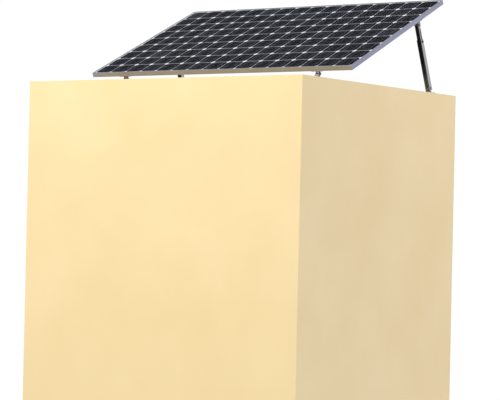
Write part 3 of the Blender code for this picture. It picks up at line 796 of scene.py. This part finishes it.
def cable_gland(side):
    """Threaded body, hexagon and ribbed domed cap round an open bore."""
    node = f"cable_gland_{side}"
    turn = PANEL @ Matrix.Rotation(math.pi / 2, 4, "X")
    low, high = local_box(node, turn)
    place = turn @ Matrix.Translation(((low.x + high.x) / 2, (low.y + high.y) / 2, high.z))
    length = high.z - low.z
    spread = (high.x - low.x) / 2
    bore = spread * GLAND_BORE
    body = spread * GLAND_BODY
    cap = spread * GLAND_CAP

    def ribbed(radius):
        return lambda turn: radius * (1 + GLAND_RIB * math.cos(GLAND_RIBS * turn))

    rings = [ring(bore, 0), ring(cap * GLAND_MOUTH, 0)]
    rings += [ring(ribbed(cap * share), -length * depth) for share, depth in GLAND_DOME]
    rings += [ring(body * share, -length * depth) for share, depth in GLAND_NECK]
    near, far = GLAND_HEX_SPAN
    rings += hex_rings(spread * GLAND_HEX, -length * far, -length * near)[::-1]
    rings += [ring(body * share, -length * depth) for share, depth in GLAND_STUD]
    rings.append(ring(bore, -length))
    solid = bmesh.new()
    skin(solid, rings, closed=True)
    add_piece(f"{node}_piece", solid, place, "panel", ["plastic"], [node])


# ---------------------------------------------------------------- feet and legs

def painted_channel_faces(node, place):
    """Picks the faces that look into a channel from its two sides and its back, which get
    painted shade.
    """
    low, high = local_box(node, place)
    middle = (low.x + high.x) / 2

    def inside(face):
        centre = face.calc_center_median()
        deep = abs(centre.x - middle) < (high.x - low.x) / 2 - WALL / 2
        offset = centre.x - middle
        looks_in = deep and offset * face.normal.x < -LOOKS_IN * abs(offset)
        return looks_in or face.normal.y < -LOOKS_FORWARD

    return inside


def legs_and_feet():
    """Both sides' channels, feet, pads and brackets, and every bolt."""
    across = Matrix.Rotation(math.pi / 2, 4, "Y")
    for side in SIDES:
        leg = LEGS[side]
        for part in ("outer", "inner"):
            node = f"leg_{part}_channel_{side}"
            # The channels' insides get painted shade and, near the foot, a painted floor
            # reflection.
            refined(node, leg, "leg", EXTRUDED_EDGE, 2, painted_channel_faces(node, leg),
                    "leg_shade_and_reflection")
        for node in (f"front_foot_{side}", f"rear_foot_{side}"):
            refined(node, WORLD, "bracket", FOOT_EDGE)
        for node in (f"front_foot_pad_{side}", f"rear_foot_pad_{side}"):
            refined(node, WORLD, "rubber", PAD_EDGE, 3)
        for node in (f"hinge_bracket_{side}", f"leg_bracket_{side}"):
            refined(node, PANEL, "bracket", BRACKET_EDGE)
        for node in (f"front_hinge_bolt_{side}", f"leg_foot_bolt_{side}",
                     f"leg_top_bolt_{side}"):
            fastener(node, facing_out(across, side), "bolt")
        fastener(f"leg_lock_bolt_{side}", facing_out(across, side), "black_bolt")
        for place in ("hinge", "leg"):
            for number in (1, 2):
                fastener(f"{place}_bracket_bolt_{side}_{number}",
                         PANEL @ Matrix.Rotation(math.pi, 4, "X"), "bolt")


def facing_out(across, side):
    """Turns a bolt so that its head is on the outer side."""
    return across if side == "right" else across @ Matrix.Rotation(math.pi, 4, "X")


# ---------------------------------------------------------------- stage, light and camera

STAGE_RIGHT = 1.085
STAGE_FRONT = -1.25
STAGE_BACK = 0.80
STAGE_HEIGHT = 4.0
STAGE_TONES = ((0.3, (0.79, 0.61, 0.31)), (0.7, (0.83, 0.65, 0.35)))
CAMERA_TURN = math.radians(33.230)
CAMERA_RISE = math.radians(0.684)
CAMERA_ROLL = math.radians(-1.267)
CAMERA_PLACE = (7.62009, -11.78002, -0.93226)
CAMERA_LENS = 144.43
CAMERA_REACH = 100
SKY = ((0.20, (1, 1, 1, 1)), (0.55, (0.62, 0.63, 0.66, 1)))   # sine of the height, colour
SKY_STRENGTH = 1.02
BLUE_SIDE = (0.707, 0.707, 0.0)   # towards the bluer part of the sky
BLUE_SPAN = (0.45, 0.90)          # cosine of the angle to it, where the blue starts and ends
BLUE_LIGHT = (0.90, 0.95, 1.20, 1)
LIGHTS_AIM = (0, 0, 0.3)
LIGHTS = {                        # place, diameter, power
    "key": ((-1.2, -4.0, 5.6), 3.0, 420),
    "back": ((3.6, 4.6, 3.6), 2.6, 90),
}
CLEAR_LAYERS = 24                 # see-through surfaces that a ray may pass


def stage_floor():
    """A plain pale block: the camera stands lower than the surface the feet rest on."""
    solid = bmesh.new()
    bmesh.ops.create_cube(solid, size=1)
    size = Vector((2 * STAGE_RIGHT, STAGE_BACK - STAGE_FRONT, STAGE_HEIGHT))
    bmesh.ops.scale(solid, vec=size, verts=solid.verts)
    bmesh.ops.translate(solid, vec=(0, (STAGE_BACK + STAGE_FRONT) / 2, -STAGE_HEIGHT / 2),
                        verts=solid.verts)
    mesh = bpy.data.meshes.new("stage_floor")
    solid.to_mesh(mesh)
    solid.free()
    finish = Finish("pale_floor")
    finish.set(Base_Color=finish.colours(finish.noise(1.6, 3), *STAGE_TONES), Roughness=0.7)
    mesh.materials.append(finish.material)
    floor = bpy.data.objects.new("stage_floor", mesh)
    bpy.context.scene.collection.objects.link(floor)


def soft_sky():
    """White round the horizon, dimmer overhead and bluer to the rear right."""
    world = bpy.data.worlds.new("soft_sky")
    bpy.context.scene.world = world
    world.use_nodes = True
    tree = world.node_tree
    background = tree.nodes["Background"]
    coordinates = tree.nodes.new("ShaderNodeTexCoord")
    split = tree.nodes.new("ShaderNodeSeparateXYZ")
    ramp = tree.nodes.new("ShaderNodeValToRGB")
    tree.links.new(coordinates.outputs["Generated"], split.inputs[0])
    tree.links.new(split.outputs["Z"], ramp.inputs["Fac"])
    facing = tree.nodes.new("ShaderNodeVectorMath")
    facing.operation = "DOT_PRODUCT"
    facing.inputs[1].default_value = BLUE_SIDE
    tree.links.new(coordinates.outputs["Generated"], facing.inputs[0])
    share = tree.nodes.new("ShaderNodeMapRange")
    share.interpolation_type = "SMOOTHSTEP"
    share.inputs["From Min"].default_value = BLUE_SPAN[0]
    share.inputs["From Max"].default_value = BLUE_SPAN[1]
    tree.links.new(facing.outputs["Value"], share.inputs["Value"])
    blue = tree.nodes.new("ShaderNodeMix")
    blue.data_type = "RGBA"
    blue.blend_type = "MULTIPLY"
    blue.inputs[7].default_value = BLUE_LIGHT
    tree.links.new(share.outputs["Result"], blue.inputs[0])
    tree.links.new(ramp.outputs["Color"], blue.inputs[6])
    tree.links.new(blue.outputs[2], background.inputs["Color"])
    for element, (position, colour) in zip(ramp.color_ramp.elements, SKY):
        element.position = position
        element.color = colour
    background.inputs["Strength"].default_value = SKY_STRENGTH


def area_light(name, place, size, power):
    """A round lamp that looks at the panel."""
    light = bpy.data.lights.new(name, "AREA")
    light.shape = "DISK"
    light.size = size
    light.energy = power
    lamp = bpy.data.objects.new(name, light)
    lamp.location = place
    way = Vector(LIGHTS_AIM) - Vector(place)
    lamp.rotation_euler = way.to_track_quat("-Z", "Y").to_euler()
    bpy.context.scene.collection.objects.link(lamp)


def studio():
    """Sky, lamps and camera."""
    soft_sky()
    for name, (place, size, power) in LIGHTS.items():
        area_light(name, place, size, power)
    scene = bpy.context.scene
    scene.view_settings.view_transform = "Standard"
    scene.cycles.transparent_max_bounces = CLEAR_LAYERS
    camera = bpy.data.objects.new("camera", bpy.data.cameras.new("camera"))
    camera.data.lens = CAMERA_LENS
    camera.data.clip_end = CAMERA_REACH
    camera.location = CAMERA_PLACE
    camera.rotation_euler = (math.pi / 2 + CAMERA_RISE, CAMERA_ROLL, CAMERA_TURN)
    scene.collection.objects.link(camera)
    scene.camera = camera


stage_floor()
studio()
laminate()
panel_frame()
junction_box()
legs_and_feet()
